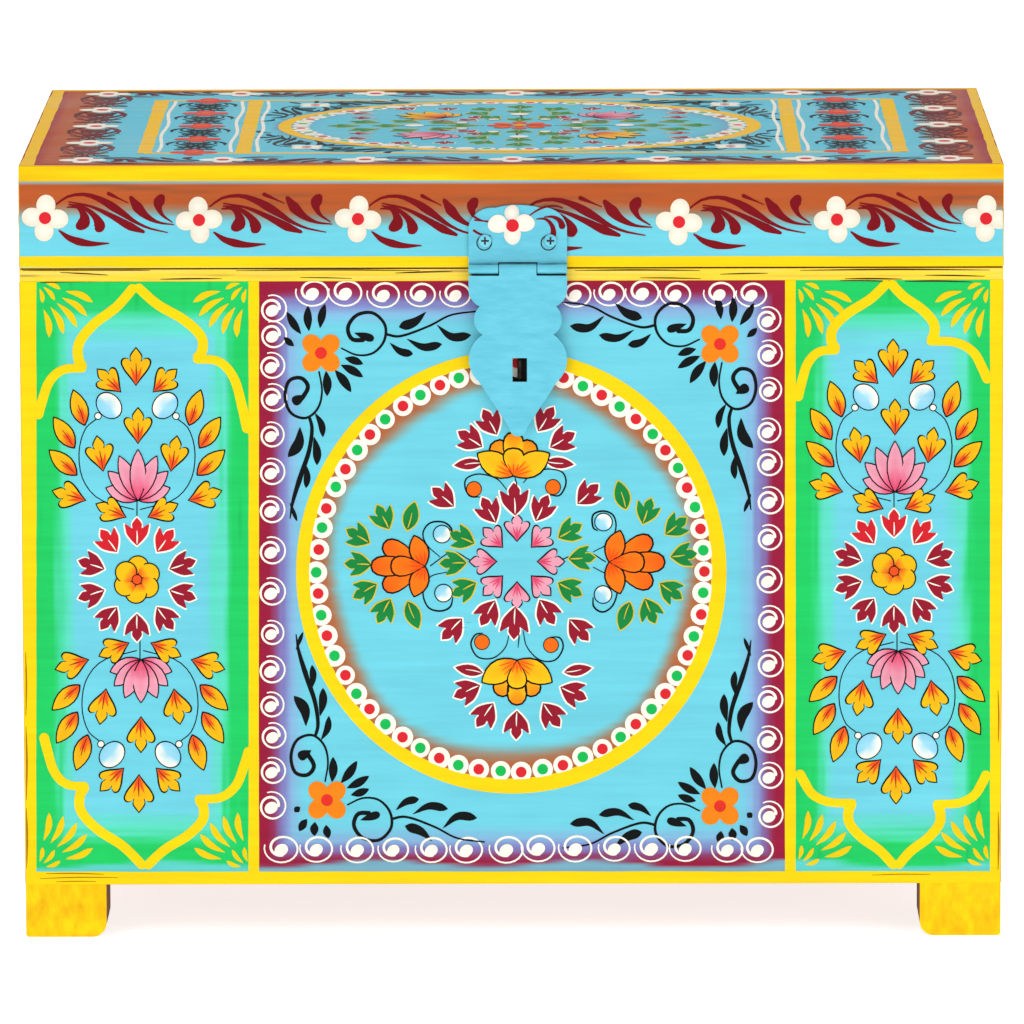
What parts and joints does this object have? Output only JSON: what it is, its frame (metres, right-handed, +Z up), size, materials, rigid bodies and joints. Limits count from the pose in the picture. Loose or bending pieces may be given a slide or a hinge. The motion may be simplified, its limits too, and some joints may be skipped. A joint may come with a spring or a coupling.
{
  "type": "painted storage box",
  "caption": "Hand-painted wooden box on block feet with a lid hinged at the back, closed by a scalloped sheet-metal hasp on the front.",
  "frame": {"origin": "on the floor plane, midway between the four feet, at the middle of the closed box's width and depth", "axes": "+X along the front towards the right foot as seen from the front, -Y out of the front face with the hasp, +Z up through the lid"},
  "size_m": [0.406, 0.2894, 0.3234],
  "materials": {
    "painted_walls": "hand-painted gloss enamel over wood, plain wood inside",
    "painted_lid": "hand-painted gloss enamel over wood, plain wood inside",
    "painted_rim": "yellow enamel over wood",
    "painted_feet": "yellow enamel over wood, dark stain on the hidden faces",
    "bare_wood": "plain brown wood",
    "paintwork": "thin gloss enamel in folk floral patterns",
    "painted_hasp": "sky blue enamel, worn at the edges",
    "hinge_steel": "sky blue enamel over sheet steel",
    "steel": "plain steel, dulled",
    "dark_iron": "dark iron wire",
    "nails": "plain wire nails, painted over outside"
  },
  "bodies": {
    "box": {"front_board": "painted_walls", "back_board": "painted_walls", "left_board": "painted_walls", "right_board": "painted_walls", "bottom_board": "bare_wood", "rim_front": "painted_rim", "rim_back": "painted_rim", "rim_left": "painted_rim", "rim_right": "painted_rim", "foot_front_left": "painted_feet", "foot_front_right": "painted_feet", "foot_back_left": "painted_feet", "foot_back_right": "painted_feet", "wall_nails": "nails", "bottom_nails": "nails", "rim_nails": "nails", "foot_nails": "nails", "staple": "dark_iron", "hinge_left_body_leaf": "hinge_steel", "hinge_left_pin": "steel", "hinge_right_body_leaf": "hinge_steel", "hinge_right_pin": "steel", "hinge_body_screws": "steel"},
    "lid": {"lid_top": "painted_lid", "lid_front_rail": "painted_lid", "lid_back_rail": "painted_lid", "lid_left_rail": "painted_lid", "lid_right_rail": "painted_lid", "lid_corner_nails": "nails", "lid_top_nails": "nails", "hasp_leaf": "painted_hasp", "hasp_pin": "steel", "hasp_screws": "painted_hasp", "hinge_left_lid_leaf": "hinge_steel", "hinge_right_lid_leaf": "hinge_steel", "hinge_lid_screws": "steel"},
    "strap": {"hasp_strap": "painted_hasp"}
  },
  "joints": [
    {"name": "lid_hinge", "type": "hinge", "parent": "box", "child": "lid", "pos_m": [0, 0.1425, 0.2807], "axis": [-1, 0, 0], "range_deg": [0, 180]},
    {"name": "hasp_swing", "type": "hinge", "parent": "lid", "child": "strap", "pos_m": [0.0027, -0.1425, 0.2807], "axis": [-1, 0, 0], "range_deg": [0, 140]}
  ]
}
